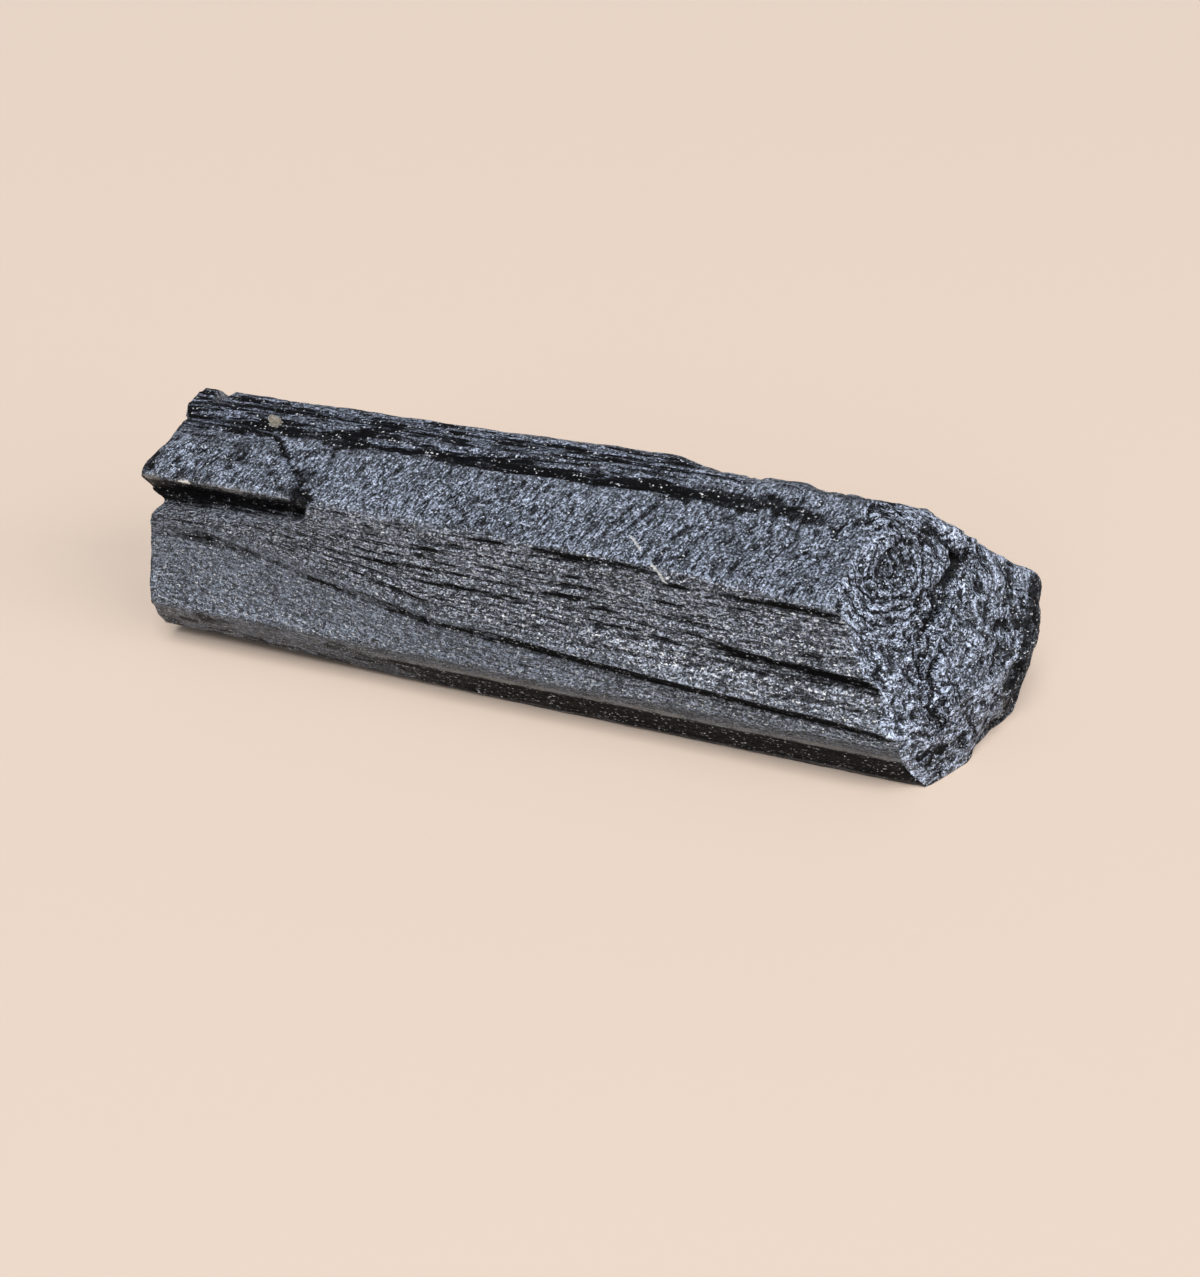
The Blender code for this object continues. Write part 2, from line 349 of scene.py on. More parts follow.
def right_break(y, z):
    """The X of the right break: the first of its faces that a line along the crystal meets."""
    faces = []
    for (out_x, out_y, out_z), (face_x, face_y, face_z) in RIGHT_BREAKS:
        faces.append(face_x - (out_y * (y - face_y) + out_z * (z - face_z)) / out_x)
    to_crest = np.minimum(to_line(y, z, TOP_CREST), to_line(y, z, FAR_CREST))
    crest = CREST_HEIGHT * smoothstep(1.8, 0.0, to_crest)
    groove = GROOVE_DEPTH * smoothstep(1.5, 0.0, to_line(y, z, GROOVE))
    knob = KNOB_HEIGHT * smoothstep(KNOB_RADIUS, 0.0, np.hypot(y - KNOB[0], z - KNOB[1]))
    return softly_least(faces, EDGE_ROUNDING) + lumps(y, z, 5) + knob + crest - groove


def direction(turn, x):
    """The angle of each column, bent so that a column runs along the long strip."""
    angle = np.interp(turn, COLUMN_SHARES, COLUMN_ANGLES)
    (facing, (face_y, face_z)), strip_z = FRONT, long_strip_height(x)
    strip_y = face_y + (strip_z - face_z) * np.tan(np.radians(facing))
    strip_angle = np.degrees(np.arctan2(strip_z - AXIS_Z, AXIS_Y - strip_y))
    bend = np.interp(turn, COLUMN_SHARES[:3], (0.0, 1.0, 0.0))
    return np.radians(angle + bend * (strip_angle - COLUMN_ANGLES[1]))


def rim(turn, break_x, low, high):
    """The X at which the long faces meet a break, found by halving the stretch between."""
    low = np.full(len(turn), low)
    high = np.full(len(turn), high)
    for _ in range(30):
        middle = (low + high) / 2.0
        angle = direction(turn, middle)
        reach = softly_least(reaches(middle, angle), EDGE_ROUNDING)
        beyond = middle > break_x(AXIS_Y - reach * np.cos(angle), AXIS_Z + reach * np.sin(angle))
        low = np.where(beyond, low, middle)
        high = np.where(beyond, middle, high)
    return low


def surface_points(turn, along):
    """Points of the crystal, the share of each long face in them, and how far they lie from the
    rims of the breaks. turn runs round the crystal and along from end to end, both from 0 to 1.
    A point is where the ray at its angle meets the nearest long face, drawn in to the axis at the
    ends, where it lies on the break instead."""
    columns = turn[:COLUMNS]
    left_rim = np.resize(rim(columns, left_break, -5.0, 30.0), len(turn))
    right_rim = np.resize(rim(columns, right_break, 60.0, 120.0), len(turn))
    share = np.clip((along - LEFT_SHARE) / (1.0 - LEFT_SHARE - RIGHT_SHARE), 0.0, 1.0)
    x = left_rim + (right_rim - left_rim) * share
    angle = direction(turn, x)
    across = np.interp(turn, COLUMN_SHARES, COLUMN_REACHES)
    faces = reaches(x, angle, fine_relief(x, across))
    inward = np.clip(np.minimum(along / LEFT_SHARE, (1.0 - along) / RIGHT_SHARE), 0.0, 1.0)
    reach = softly_least(faces, EDGE_ROUNDING)
    from_rim = np.minimum(x - left_rim, right_rim - x) + reach * (1.0 - inward)
    reach = reach * inward
    y = AXIS_Y - reach * np.cos(angle)
    z = AXIS_Z + reach * np.sin(angle)
    x = np.where(along < LEFT_SHARE, left_break(y, z), x)
    x = np.where(along > 1.0 - RIGHT_SHARE, right_break(y, z), x)
    shares = np.exp((faces.min(axis=0) - faces) / 0.2)
    shares /= shares.sum(axis=0)
    return np.stack([x, y, z], axis=1), shares, from_rim


# The fine relief


def growth_steps(x, across, period, wander, seed):
    """Many small growth steps along the crystal: going up the face it jumps out and then falls
    back slowly, 0 to 1. The steps wander, and each fades in and out."""
    flow = np.stack([x / 22.0, across / 2.6, np.zeros_like(x)], axis=1)
    place = (across + wander * noise(flow, 1.0, seed)) / period
    part = place % 1.0
    rise = 0.18
    saw = np.where(part < rise, part / rise, (1.0 - part) / (1.0 - rise))
    lane = np.stack([x / 9.0, np.floor(place), np.full_like(x, seed)], axis=1)
    return saw * np.clip(0.55 + 0.9 * noise(lane, 1.0, seed + 1), 0.0, 1.3)


def fine_relief(x, across):
    """The relief of each long face that is too fine for the solid, in the order of LONG_FACES."""
    flow = np.stack([x, across, np.zeros_like(x)], axis=1)
    wavy = rough(flow, (7.0, 3.0, 1.0), 11, 3)
    streaks = rough(flow, (3.5, 0.5, 1.0), 21, 2)
    above_strip = smoothstep(11.0, 13.0, across)
    steps = growth_steps(x, across, 1.5, 1.3, 31) - 0.4
    small_steps = growth_steps(x, across, 0.75, 0.8, 37) - 0.4
    strength = above_strip * (0.45 + 0.55 * smoothstep(15.0, 45.0, x))
    front = strength * (0.24 * steps + 0.14 * small_steps + 0.12 * streaks)
    front += (1.0 - above_strip) * (0.03 * streaks + 0.04 * wavy) + 0.08 * wavy
    slanted = np.stack([x - 0.32 * (across - 23.0) + 0.5 * wavy, across, np.zeros_like(x)], axis=1)
    hackle = 0.07 * ridges(slanted, (1.0, 4.0, 1.0), 45, 2)
    hackle += 0.14 * rough(slanted, (3.0, 5.0, 1.0), 47)
    groove = -0.45 * window(34.0, 34.8, 0.8, across + 0.7 * wavy) * window(30.0, 76.0, 10.0, x)
    top = 0.20 * (growth_steps(x, across, 1.1, 0.9, 51) - 0.4) + 0.08 * streaks + 0.10 * wavy + groove
    back = 0.25 * (growth_steps(x, across, 2.4, 1.8, 61) - 0.4) + 0.10 * streaks + 0.12 * wavy
    broken_away = 0.45 * rough(flow, (2.6, 1.8, 1.0), 65) * smoothstep(62.0, 70.0, x)
    under = 0.03 * streaks + 0.08 * wavy
    base = 0.0 * x
    return np.array([under, front, hackle, top, back + broken_away, back, back, base])


def end_relief(points):
    """The fine relief of the ends: sawtooth arcs round the swirl's eye over a shallow bowl, a
    crack in the groove with splits beside it, a bulge and crags."""
    warp = np.stack([rough(points, 3.0, seed, 3) for seed in (71, 74, 77)], axis=1)
    bent = points + 1.3 * warp
    from_eye = np.linalg.norm(points + 0.8 * warp - np.array(SWIRL_EYE), axis=1)
    ring = from_eye / ARC_SPACING
    part = ring % 1.0
    arcs = np.where(part < ARC_RISE, part / ARC_RISE, (1.0 - part) / (1.0 - ARC_RISE)) - 0.5
    broken = np.stack([points[:, 0], points[:, 1], np.floor(ring) * 7.0], axis=1)
    arcs *= 0.45 * smoothstep(9.5, 4.5, from_eye) * (0.8 + 0.8 * noise(broken, 2.6, 79))
    bowl = -0.3 * smoothstep(4.5, 0.0, from_eye)
    crack = -0.5 * smoothstep(0.5, 0.0, to_line(bent[:, 1], bent[:, 2], GROOVE))
    bulge = 0.7 * smoothstep(6.0, 0.0, np.linalg.norm(bent - np.array(BULGE), axis=1))
    crags = 0.30 * rough(bent, 3.4, 81, 3) + 0.15 * ridges(bent, 1.8, 87, 2)
    cleft = smoothstep(3.2, 1.2, to_line(points[:, 1], points[:, 2], GROOVE))
    splits = 0.30 * cleft * ridges(bent, (1.6, 1.6, 5.0), 97, 2)
    return arcs + bowl + crack + bulge + crags - splits


# Meshes


def grid_faces(rows, columns):
    """Quads over rows of points that close on themselves, with a fan of triangles at each end. The
    two poles come after the rows."""
    here = np.arange(rows * columns).reshape(rows, columns)
    beside = np.roll(here, -1, axis=1)
    quads = np.stack([here[:-1], here[1:], beside[1:], beside[:-1]], axis=-1).reshape(-1, 4)
    first, last = rows * columns, rows * columns + 1
    left_fan = np.stack([np.full(columns, first), here[0], beside[0]], axis=-1)
    right_fan = np.stack([np.full(columns, last), beside[-1], here[-1]], axis=-1)
    return quads.tolist() + left_fan.tolist() + right_fan.tolist()


def outward(points, rows, columns):
    """Unit normals of a closed grid of points, from its slopes along and round it."""
    grid = points.reshape(rows, columns, 3)
    lengthwise = np.gradient(grid, axis=0)
    crosswise = np.roll(grid, -1, axis=1) - np.roll(grid, 1, axis=1)
    normal = np.cross(lengthwise, crosswise).reshape(-1, 3)
    return normal / np.maximum(np.linalg.norm(normal, axis=1, keepdims=True), 1e-9)


def flow_map(mesh, x):
    """A UV map in metres that runs along the crystal with u and round it with v. The column that
    closes the grid is at the far end of v and not back at its start."""
    across = np.interp(np.arange(COLUMNS + 1) / COLUMNS, COLUMN_SHARES, COLUMN_REACHES)
    column = np.arange(COLUMNS)
    corner_columns = np.stack([column, column, column + 1, column + 1], axis=-1)
    quads_v = np.tile(across[corner_columns].ravel(), ROWS - 2)
    fans_v = np.zeros(2 * COLUMNS * 3)
    loops = np.empty(len(mesh.loops), np.int32)
    mesh.loops.foreach_get("vertex_index", loops)
    places = np.stack([x[loops], np.concatenate([quads_v, fans_v])], axis=-1) * MILLIMETRE
    mesh.uv_layers.new(name="flow").uv.foreach_set("vector", places.astype(np.float32).ravel())


def crystal_skin():
    """The crystal's surface on a grid of columns round it and rows from end to end, moved along
    its normals by the relief of the ends and frayed along their rims."""
    along = np.repeat(np.arange(1, ROWS) / ROWS, COLUMNS)
    turn = np.tile(np.arange(COLUMNS) / COLUMNS, ROWS - 1)
    points, shares, from_rim = surface_points(turn, along)
    sides = np.where((along < LEFT_SHARE) | (along > 1.0 - RIGHT_SHARE), 0.0, 1.0)
    relief = (1.0 - sides) * end_relief(points) * smoothstep(0.0, 1.0, from_rim)
    relief += 0.04 * rough(points, 0.8, 91, 2)
    at_right = smoothstep(MIDWAY - 5.0, MIDWAY + 5.0, points[:, 0])
    torn = 0.05 + 0.25 * noise(points, 1.8, 95) + 0.3 * at_right * rough(points, 2.6, 99, 2)
    relief -= torn * smoothstep(1.0 + 0.6 * at_right, 0.0, from_rim)
    points = points + outward(points, ROWS - 1, COLUMNS) * relief[:, None]
    points[:, 2] = np.maximum(points[:, 2], 0.0)
    return skin_mesh(points, finish_shares(points, shares, sides, turn))


def skin_mesh(points, finishes):
    """The mesh of a grid of points, closed at its poles, with each finish as an attribute."""
    poles = np.array([points[:COLUMNS].mean(axis=0), points[-COLUMNS:].mean(axis=0)])
    points = np.concatenate([points, poles]) - (MIDDLE_X, MIDDLE_Y, 0.0)
    mesh = bpy.data.meshes.new("crystal_skin")
    mesh.from_pydata((points * MILLIMETRE).tolist(), [], grid_faces(ROWS - 1, COLUMNS))
    for name, values in finishes.items():
        attribute = mesh.attributes.new(name, "FLOAT", "POINT")
        ends = [values[:COLUMNS].mean(), values[-COLUMNS:].mean()]
        attribute.data.foreach_set("value", np.concatenate([values, ends]).astype(np.float32))
    flow_map(mesh, points[:, 0])
    mesh.shade_smooth()
    return mesh


# Where each finish lies, and where shade and highlights are painted


def blurred(values, rows, columns, passes):
    """Values on the closed grid, each averaged with its neighbours a number of times."""
    grid = values.reshape(rows, columns)
    for _ in range(passes):
        grid = (np.roll(grid, 1, axis=1) + grid + np.roll(grid, -1, axis=1)) / 3.0
        grid[1:-1] = (grid[:-2] + grid[1:-1] + grid[2:]) / 3.0
    return grid.ravel()


def standing_out(points, normals, passes):
    """How far each point stands out from the same surface blurred a number of times."""
    rows = len(points) // COLUMNS
    smooth = np.stack([blurred(axis, rows, COLUMNS, passes) for axis in points.T], axis=1)
    return ((points - smooth) * normals).sum(axis=1)


def painted_shade_strips(points, normals, across, under_bevel, front, sides):
    """Painted shade in strips of the long faces: on the under-bevel, which faces down, torn in its
    left part, under what hangs over and in the notch below the ledge, with a dark band along the
    low edge of the top, over its groove."""
    x, z = points[:, 0], points[:, 2]
    flow = np.stack([x, across, np.zeros_like(x)], axis=1)
    ragged = rough(flow, (5.0, 1.2, 1.0), 101, 3)
    bevel = smoothstep(18.0, 46.0, x + 4.0 * ragged) * smoothstep(5.0, 4.2, z)
    torn = smoothstep(0.0, 0.35, rough(flow, (3.0, 0.8, 1.0), 109)) * smoothstep(50.0, 20.0, x)
    low_band = window(33.4, 34.8, 0.7, across + 1.6 * ragged) * window(12.0, 80.0, 6.0, x)
    overhang = smoothstep(0.05, -0.25, normals[:, 2])
    notch = window(NOTCH_FOOT + 0.8 + 0.07 * x, 21.4, 0.3, z) * smoothstep(23.0, 21.5, x)
    on_bevel = under_bevel * np.maximum(bevel, 0.7 * torn)
    on_front = front * np.maximum(overhang, 0.88 * notch)
    return np.maximum.reduce([on_bevel, on_front, 0.85 * low_band * sides])


def dark_ledge_and_shadow(points, shoulder, uneven):
    """The dark parts of the ledge: its pits and its left tip, and a painted shadow at its right
    corner.
    """
    x = points[:, 0]
    pits = 0.5 * smoothstep(25.0, 21.0, x) * smoothstep(0.1, 0.5, rough(points, 1.3, 107))
    tip = 0.8 * smoothstep(2.8, 1.8, x + 0.8 * uneven)
    # Painted shadow at the right corner of the ledge.
    from_corner = np.linalg.norm(points - np.array(LEDGE_SHADOW), axis=1)
    corner = 0.9 * (x < LEDGE_END + 0.9) * smoothstep(1.7, 0.9, from_corner + 0.8 * uneven)
    return np.maximum(shoulder * np.maximum(pits, tip), corner)


def painted_shade_on_end(points, uneven):
    """Painted shade on the right break: in its groove, most of all near the top, in hollows at its
    foot, and on its far side, which faces away from the light, with a strip along the edge."""
    x, y, z = points.T
    groove = smoothstep(0.6, 0.1, to_line(y, z, GROOVE) + 0.7 * uneven)
    groove *= 0.25 + 0.55 * smoothstep(17.4, 18.6, z)
    foot = 0.7 * smoothstep(5.0, 2.5, z) * smoothstep(0.0, 0.3, rough(points, 1.8, 105))
    far_side = 0.15 * smoothstep(97.0, 101.0, x + 2.0 * uneven)
    far_edge = 0.85 * smoothstep(103.0, 103.6, x + 0.4 * uneven)
    return np.maximum.reduce([groove, foot, far_side, far_edge])


def painted_edge_highlights(points, front, sides, uneven):
    """Painted highlights, pale lines where edges catch the light: the ledge's lip and a line along
    each edge of the under-bevel.
    """
    x, y, z = points.T
    lip = front * smoothstep(21.1, 21.5, z) * smoothstep(23.5, 22.5, x)
    bevel_lines = np.maximum(window(4.7, 5.1, 0.3, z), 0.7 * window(0.4, 0.6, 0.3, z))
    bevel_lines *= smoothstep(20.0, 46.0, x) * (y < 4.0) * sides
    return np.maximum(lip, bevel_lines) * (0.7 + 0.6 * uneven)


def finish_shares(points, shares, sides, turn):
    """Where each finish lies: painted highlights along edges, fractures and the cleft in the right
    one, the smooth top band, the gritty faces and the black parts, which are mostly painted shade.
    crest is how far a point stands out from what is close to it, and swell, on the ends alone, from
    what is further round it; 0.5 is level. The material paints shade where crest is low, and light
    and shade after swell."""
    x, y, z = points.T
    normals = outward(points, ROWS - 1, COLUMNS)
    across = np.interp(turn, COLUMN_SHARES, COLUMN_REACHES)
    under_bevel, front, shoulder, top = shares[:4] * sides
    hidden = shares[4:7].sum(axis=0) * sides
    ends = 1.0 - sides
    right_end = ends * (x > MIDWAY)
    uneven = rough(points, 1.6, 103)
    # The black parts: painted shade under overhangs, in the notch, on the under-bevel and on the
    # right break, and dark pits and a dark tip on the ledge.
    black = [
        painted_shade_strips(points, normals, across, under_bevel, front, sides),
        dark_ledge_and_shadow(points, shoulder, uneven),
        painted_shade_on_end(points, uneven) * right_end,
    ]
    upper_part, right_part = smoothstep(11.0, 13.0, across), 0.6 * smoothstep(45.0, 75.0, x)
    swell = np.minimum(standing_out(points, normals, 40), 0.1)
    finishes = {
        "edge_line": painted_edge_highlights(points, front, sides, uneven),
        "fracture": np.where(sides > 0.5, shoulder, 1.0),
        "broken_end": ends,
        "cleft": right_end * smoothstep(3.2, 1.2, to_line(y, z, GROOVE)),
        "top_band": top,
        "grit": front * np.maximum(upper_part, right_part) + 0.6 * hidden,
        "black": np.maximum.reduce(black),
        "crest": 0.5 + standing_out(points, normals, 4) / 0.16,
        "swell": 0.5 + ends * swell / 0.9,
    }
    return {name: np.clip(values, 0.0, 1.0) for name, values in finishes.items()}


# Materials


class Shade:
    """A socket of a material, with arithmetic: an expression adds its Math nodes."""

    def __init__(self, tree, socket=None):
        self.tree = tree
        self.socket = socket

    def node(self, kind, settings, sockets, output=0):
        """Adds a node. Its settings come first, then each socket gets its value or its link."""
        made = self.tree.nodes.new(kind)
        for name, value in settings.items():
            setattr(made, name, value)
        for name, value in sockets.items():
            if isinstance(value, Shade):
                self.tree.links.new(value.socket, made.inputs[name])
            else:
                made.inputs[name].default_value = value
        return Shade(self.tree, made.outputs[output])

    def maths(self, operation, *values):
        return self.node("ShaderNodeMath", {"operation": operation}, dict(enumerate(values)))

    def vector(self, operation, *values, output="Vector"):
        settings = {"operation": operation}
        return self.node("ShaderNodeVectorMath", settings, dict(enumerate(values)), output)

    def scaled(self, vector, factor):
        """A vector times a number."""
        sockets = {0: vector, "Scale": factor}
        return self.node("ShaderNodeVectorMath", {"operation": "SCALE"}, sockets)

    def __add__(self, other):
        return self.maths("ADD", self, other)

    def __radd__(self, other):
        return self.maths("ADD", other, self)

    def __sub__(self, other):
        return self.maths("SUBTRACT", self, other)

    def __rsub__(self, other):
        return self.maths("SUBTRACT", other, self)

    def __mul__(self, other):
        return self.maths("MULTIPLY", self, other)

    def __rmul__(self, other):
        return self.maths("MULTIPLY", other, self)

    def ramp(self, low, high):
        """0 below low, 1 above high and an S-shaped rise between."""
        settings = {"interpolation_type": "SMOOTHSTEP"}
        sockets = {"Value": self, "From Min": low, "From Max": high}
        return self.node("ShaderNodeMapRange", settings, sockets)

    def blend(self, first, second):
        """A value that goes from first at 0 to second at 1."""
        return first + self * (second - first)

    def lines(self, width):
        """1 on thin lines, where noise passes through its middle, and 0 away from them."""
        return self.maths("ABSOLUTE", self - 0.5).ramp(width, 0.0)

    def mix(self, first, second):
        """A colour that goes from first at 0 to second at 1."""
        sockets = {0: self, 6: first, 7: second}
        return self.node("ShaderNodeMix", {"data_type": "RGBA"}, sockets, output=2)

    def counted(self, where, sizes):
        """A place counted in steps of the given sizes in millimetres along the three directions."""
        return self.vector("MULTIPLY", where, tuple(1.0 / (size * MILLIMETRE) for size in sizes))

    def noise(self, where, sizes, detail=3.0, rough_share=0.55):
        """Noise with lumps of the given sizes."""
        steps = self.counted(where, sizes)
        sockets = {"Vector": steps, "Scale": 1.0, "Detail": detail, "Roughness": rough_share}
        return self.node("ShaderNodeTexNoise", {}, sockets)

    def facets(self, where, sizes):
        """Small cells of the given sizes, each with a colour of its own."""
        sockets = {"Vector": self.counted(where, sizes), "Scale": 1.0}
        return self.node("ShaderNodeTexVoronoi", {}, sockets, "Color")

    def tilted(self, facets, tilt, height, distance):
        """The normal with a bump of a height, and tilted on each facet by the facet's colour."""
        sockets = {"Strength": 1.0, "Distance": distance, "Height": height}
        bump = self.node("ShaderNodeBump", {}, sockets)
        lean = self.scaled(self.vector("SUBTRACT", facets, (0.5, 0.5, 0.5)), tilt)
        return self.vector("NORMALIZE", self.vector("ADD", bump, lean))


def new_material(name):
    """A material with nothing but its Principled shader. Returns it, the shader and a first Shade."""
    material = bpy.data.materials.new(name)
    material.use_nodes = True
    shader = material.node_tree.nodes["Principled BSDF"]
    return material, shader, Shade(material.node_tree)


def connect(shade, node, name):
    """Links a value to a node's input."""
    shade.tree.links.new(shade.socket, node.inputs[name])


def finish_shades(shade):
    """The share of each finish at a place, and the calm part of the long faces, which is what is
    left beside the others."""
    shares = {}
    for name in FINISHES:
        settings = {"attribute_name": name}
        shares[name] = shade.node("ShaderNodeAttribute", settings, {}, output="Fac")
    finish = SimpleNamespace(**shares)
    finish.calm = (1.0 - finish.fracture) * (1.0 - finish.grit) * (1.0 - finish.top_band)
    return finish


def stone_patterns(shade, place):
    """The patterns in the stone. Those on the long faces follow the flow map, which runs along the
    crystal, and the others fill space."""
    flow = shade.node("ShaderNodeTexCoord", {}, {}, output="UV")
    turned = {"Vector": flow, "Rotation": (0.0, 0.0, HACKLE_LEAN)}
    slanted = shade.node("ShaderNodeMapping", {}, turned)
    lumps = shade.noise(place, (0.9, 0.9, 0.9), 4.0, 0.7)
    arcs, ripples = swirl_arcs(shade, place, lumps)
    return SimpleNamespace(
        lumps=lumps,
        arcs=arcs,
        ripples=ripples,
        patches=shade.noise(place, (5.0, 5.0, 5.0), 3.0, 0.6),
        facets=shade.facets(place, (0.20, 0.17, 0.17)),
        cracks=shade.noise(place, (2.0, 2.0, 2.0), 5.0, 0.62).lines(0.016),
        fine_cracks=shade.noise(place, (0.8, 0.8, 0.8), 3.0, 0.6).lines(0.030),
        splits=shade.noise(place, (0.9, 0.9, 3.6), 4.0, 0.6).lines(0.045),
        hackle=shade.noise(slanted, (0.55, 3.2, 1.0), 4.0, 0.6).lines(0.035),
        hairs=shade.noise(slanted, (0.22, 1.6, 1.0), 3.0, 0.75),
        streaks=shade.noise(flow, (4.0, 0.34, 1.0), 5.0, 0.68),
        short_streaks=shade.noise(flow, (1.0, 0.25, 1.0), 3.0, 0.8),
        wide_streaks=shade.noise(flow, (7.0, 0.8, 1.0), 3.0, 0.6),
        flecks=shade.noise(flow, (0.5, 0.26, 1.0), 2.0, 0.6).ramp(0.60, 0.66),
    )


def dark_lines(finish, pattern):
    """Thin lines: cracks, arcs and splits on the ends, hackle on the shoulder."""
    on_sides = 0.3 * pattern.fine_cracks
    on_shoulder = 0.6 * pattern.hackle + 0.5 * pattern.fine_cracks
    on_ends = 0.6 * pattern.cracks + 0.4 * pattern.fine_cracks + 0.9 * pattern.arcs
    on_ends = on_ends + 0.5 * pattern.ripples.lines(0.03) + 0.9 * finish.cleft * pattern.splits
    return finish.fracture.blend(on_sides, finish.broken_end.blend(on_shoulder, on_ends))


def dark_marks_and_painted_shade(shade, finish, pattern, stuck):
    """Where the dark stone shader takes over: on dark lines, streaks and patches, and as painted
    shade on the black parts and in hollows, but not on the painted highlights along edges nor under
    what is stuck to it."""
    streaked = (1.0 - finish.fracture) * (0.3 + 0.28 * finish.grit + 0.65 * finish.top_band)
    wide_streaks = finish.top_band * pattern.wide_streaks.ramp(0.54, 0.44)
    dark = finish.black + dark_lines(finish, pattern)
    dark = dark + streaked * (pattern.streaks.ramp(0.47, 0.40) + wide_streaks)
    # Painted shade in hollows, where a point lies below what is close to it, and dark patches.
    dark = dark + 0.6 * finish.crest.ramp(0.48, 0.15) + 0.15 * pattern.patches.ramp(0.5, 0.3)
    return shade.maths("MINIMUM", dark - finish.edge_line - 2.0 * stuck, 1.0)


def stone_colour(finish, pattern, ridges):
    """The rough stone's colour: light facets on a dark body, white flecks and painted highlights
    along edges, with painted light where the ends swell out and painted shade in their hollows.
    """
    grain = 3.4 * (ridges - 0.5) + 1.7 * (pattern.facets - 0.5) + 0.4 * (pattern.patches - 0.5)
    grain = grain * (1.0 - 0.4 * finish.calm + 0.2 * finish.broken_end) - 0.08 * finish.grit
    # Painted light and shade from swell: lighter where the ends swell out, darker in broad hollows.
    lit = (grain + 1.2 * (finish.swell - 0.5)).ramp(-0.40, 0.78)
    facets = finish.fracture.mix(FRONT_FACETS, SHOULDER_FACETS)
    facets = finish.broken_end.mix(facets, END_FACETS)
    facets = finish.calm.mix(facets, CALM_FACETS)
    facets = finish.top_band.mix(facets, TOP_FACETS)
    flecks = (0.9 * finish.grit + 0.5 * finish.calm) * pattern.flecks
    colour = flecks.mix(lit.mix(DARK_BODY, facets), FLECK)
    # Painted highlights along edges.
    return (0.6 * finish.edge_line).mix(colour, EDGE_HIGHLIGHT)


def dark_stone_shader(shade, finish, pattern, ridges):
    """The shader of the dark stone, which also carries painted shade, with painted glints: light
    spots in its colour.
    """
    shader = shade.tree.nodes.new("ShaderNodeBsdfPrincipled")
    # Painted glints: light spots in the dark stone's colour.
    painted_glints = (pattern.facets + 0.8 * (pattern.streaks - 0.5) + 0.03 * finish.calm).ramp(0.84, 0.95)
    connect(painted_glints.mix(DARK_AND_SHADE_BODY, PAINTED_GLINT), shader, "Base Color")
    connect(shade.tilted(pattern.facets, 0.3, ridges, 0.0003), shader, "Normal")
    shader.inputs["Roughness"].default_value = 0.35
    shader.inputs["Specular IOR Level"].default_value = 0.09
    return Shade(shade.tree, shader.outputs[0])


def black_tourmaline():
    """Black stone. Small facets mirror the lights, each with a tilt of its own; thin cracks stay
    dark, and painted shade darkens hollows and the black strips."""
    material, rough_stone, shade = new_material("black_tourmaline")
    place = shade.node("ShaderNodeTexCoord", {}, {}, output="Object")
    finish = finish_shades(shade)
    pattern = stone_patterns(shade, place)
    on_fractures = finish.broken_end.blend(pattern.hairs, pattern.ripples)
    ridges = finish.fracture.blend(pattern.short_streaks, on_fractures)
    stuck, stuck_colour = stuck_things(shade, place, pattern.lumps)
    colour = stuck.mix(stone_colour(finish, pattern, ridges), stuck_colour)
    connect(colour, rough_stone, "Base Color")
    connect(0.28 + 0.25 * pattern.facets - 0.05 * finish.top_band, rough_stone, "Roughness")
    connect(shade.tilted(pattern.facets, 0.9, ridges, 0.0006), rough_stone, "Normal")
    rough_stone.inputs["Specular IOR Level"].default_value = 1.0
    rough_stone.inputs["Specular Tint"].default_value = MIRRORED_LIGHT
    sockets = {
        0: dark_marks_and_painted_shade(shade, finish, pattern, stuck),
        1: Shade(shade.tree, rough_stone.outputs[0]),
        2: dark_stone_shader(shade, finish, pattern, ridges),
    }
    both = shade.node("ShaderNodeMixShader", {}, sockets)
    connect(both, shade.tree.nodes["Material Output"], "Surface")
    return material


def in_metres(point):
    """A point of the crystal as the scene has it: in metres from the middle of its footprint."""
    return (np.array(point) - (MIDDLE_X, MIDDLE_Y, 0.0)) * MILLIMETRE


def to_segment(shade, place, start, end):
    """The distance in millimetres from a place to a stretch of straight line."""
    start, end = in_metres(start), in_metres(end)
    way = end - start
    away = shade.vector("SUBTRACT", place, tuple(start))
    along = shade.vector("DOT_PRODUCT", away, tuple(way), output="Value")
    share = along * (1.0 / float(way @ way))
    share = shade.maths("MINIMUM", shade.maths("MAXIMUM", share, 0.0), 1.0)
    gap = shade.vector("DISTANCE", away, shade.scaled(tuple(way), share), output="Value")
    return gap * (1.0 / MILLIMETRE)


def stuck_things(shade, place, lumps):
    """The share and the colour of a tan chip, a pale sliver and a fibre."""
    ragged = lumps - 0.5
    chip = (to_segment(shade, place, *CHIP) + 2.0 * ragged).ramp(0.80, 0.60)
    sliver = (to_segment(shade, place, *SLIVER) + 0.8 * ragged).ramp(0.30, 0.18)
    strands = [to_segment(shade, place, *ends) for ends in zip(FIBRE, FIBRE[1:])]
    fibre = 0.5 * shade.maths("MINIMUM", *strands).ramp(0.20, 0.10)
    share = shade.maths("MAXIMUM", chip, shade.maths("MAXIMUM", sliver, fibre))
    return share, chip.mix(SLIVER_WHITE, CHIP_TAN)


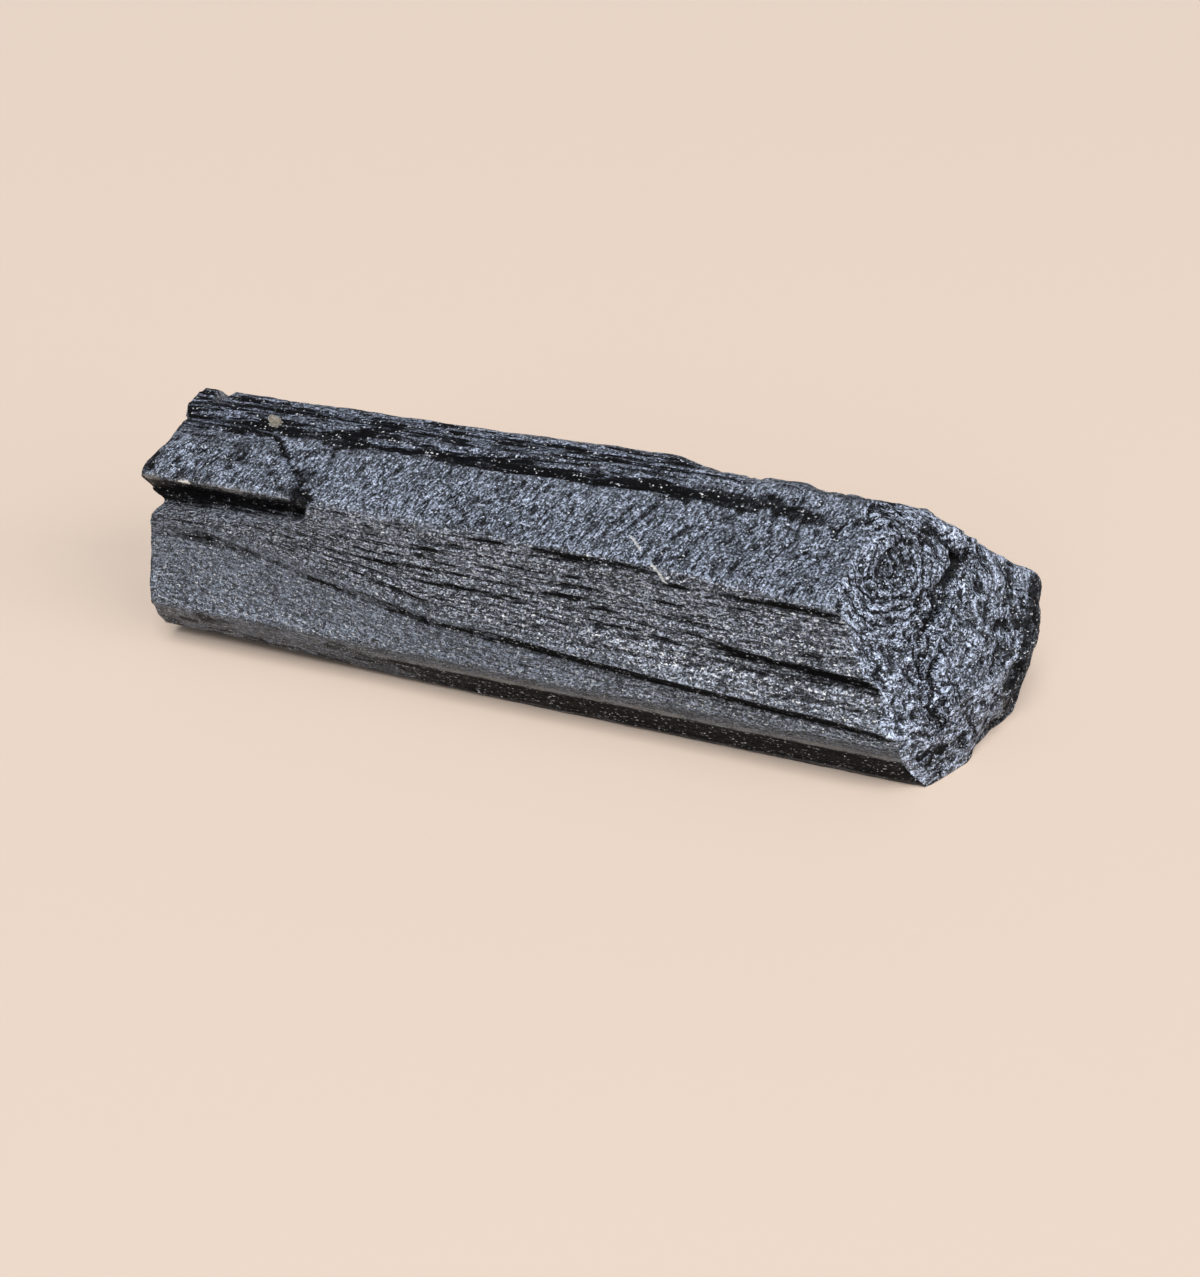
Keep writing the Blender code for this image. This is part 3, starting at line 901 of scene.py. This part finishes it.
def swirl_arcs(shade, place, lumps):
    """Two patterns round the swirl's eye. The first is thin dark arcs, warped, broken up, and gone
    beyond 10 mm from it. The second is noise drawn out round the eye, with a ripple every
    0.32 mm."""
    arcs_per_millimetre, ripple = 0.95, 0.32
    eye = tuple(in_metres(SWIRL_EYE))
    distance = shade.vector("DISTANCE", place, eye, output="Value") * (1.0 / MILLIMETRE)
    warp = shade.noise(place, (3.0, 3.0, 3.0), 3.0, 0.6) - 0.5
    ring = arcs_per_millimetre * distance + 3.2 * warp + (lumps - 0.5)
    line = shade.maths("ABSOLUTE", shade.maths("FRACT", ring) - 0.5).ramp(0.14, 0.03)
    shown = shade.noise(place, (1.6, 1.6, 1.6), 2.0, 0.6).ramp(0.40, 0.48)
    direction_out = shade.vector("NORMALIZE", shade.vector("SUBTRACT", place, eye))
    drawn_out = shade.scaled(direction_out, 5.0)
    radial = (distance + 2.0 * warp) * (1.0 / ripple)
    sockets = {"Vector": drawn_out, "W": radial, "Scale": 1.0, "Detail": 3.0, "Roughness": 0.8}
    ripples = shade.node("ShaderNodeTexNoise", {"noise_dimensions": "4D"}, sockets)
    return line * shown * distance.ramp(10.0, 5.0), ripples


def pale_table():
    """A plain pale surface, slightly warm."""
    material, shader, _ = new_material("pale_table")
    shader.inputs["Base Color"].default_value = TABLE_PALE
    shader.inputs["Roughness"].default_value = 0.7
    return material


# The scene


def add_object(name, mesh, material):
    thing = bpy.data.objects.new(name, mesh)
    bpy.context.scene.collection.objects.link(thing)
    mesh.materials.append(material)
    return thing


def add_floor():
    """The table, 120 m across, so that its edge is out of sight."""
    half = 60.0
    corners = [(-half, -half, 0.0), (half, -half, 0.0), (half, half, 0.0), (-half, half, 0.0)]
    mesh = bpy.data.meshes.new("table")
    mesh.from_pydata(corners, [], [(0, 1, 2, 3)])
    return add_object("table", mesh, pale_table())


def add_sun(name, towards, strength, spread):
    """A soft distant light. towards points from the crystal to it; spread is its width in degrees."""
    light = bpy.data.lights.new(name, "SUN")
    light.energy = strength
    light.angle = np.radians(spread)
    light.color = LAMP_WHITE
    lamp = bpy.data.objects.new(name, light)
    lamp.rotation_mode = "QUATERNION"
    lamp.rotation_quaternion = (-Vector(towards)).to_track_quat("-Z", "Y")
    bpy.context.scene.collection.objects.link(lamp)


def add_camera():
    """The photograph's camera. The lens spans the sensor's width over the photograph's long side."""
    camera = bpy.data.cameras.new("camera")
    camera.sensor_width = 36.0
    camera.lens = FOCAL_PIXELS / PHOTO_LONG_SIDE * camera.sensor_width
    camera.clip_start, camera.clip_end = 0.002, 50.0
    azimuth, elevation = np.radians(CAMERA_AZIMUTH), np.radians(CAMERA_ELEVATION)
    level = np.cos(elevation)
    back = Vector((np.sin(azimuth) * level, -np.cos(azimuth) * level, np.sin(elevation)))
    eye = bpy.data.objects.new("camera", camera)
    eye.location = Vector(CAMERA_PLACE) * MILLIMETRE
    eye.rotation_mode = "QUATERNION"
    eye.rotation_quaternion = (-back).to_track_quat("-Z", "Y")
    bpy.context.scene.collection.objects.link(eye)
    bpy.context.scene.camera = eye


def add_light():
    """Three large soft lights, above in front, to the right and in front, and a weak grey room."""
    world = bpy.data.worlds.new("studio")
    bpy.context.scene.world = world
    world.use_nodes = True
    sky = world.node_tree.nodes["Background"]
    sky.inputs["Color"].default_value = ROOM_GREY
    sky.inputs["Strength"].default_value = 0.30
    add_sun("above", (0.08, -0.42, 0.90), 4.6, 44.0)
    add_sun("right", (0.88, -0.20, 0.42), 2.1, 50.0)
    add_sun("front", (-0.10, -0.90, 0.42), 0.9, 30.0)


def build():
    """The crystal in place of its solid, the table, the light and the camera."""
    crystal = add_object("crystal_skin", crystal_skin(), black_tourmaline())
    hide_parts("crystal")
    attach(crystal, "root")
    add_floor()
    add_light()
    add_camera()
    bpy.context.scene.view_settings.view_transform = "Standard"
    bpy.context.scene.view_settings.gamma = PICTURE_GAMMA


build()
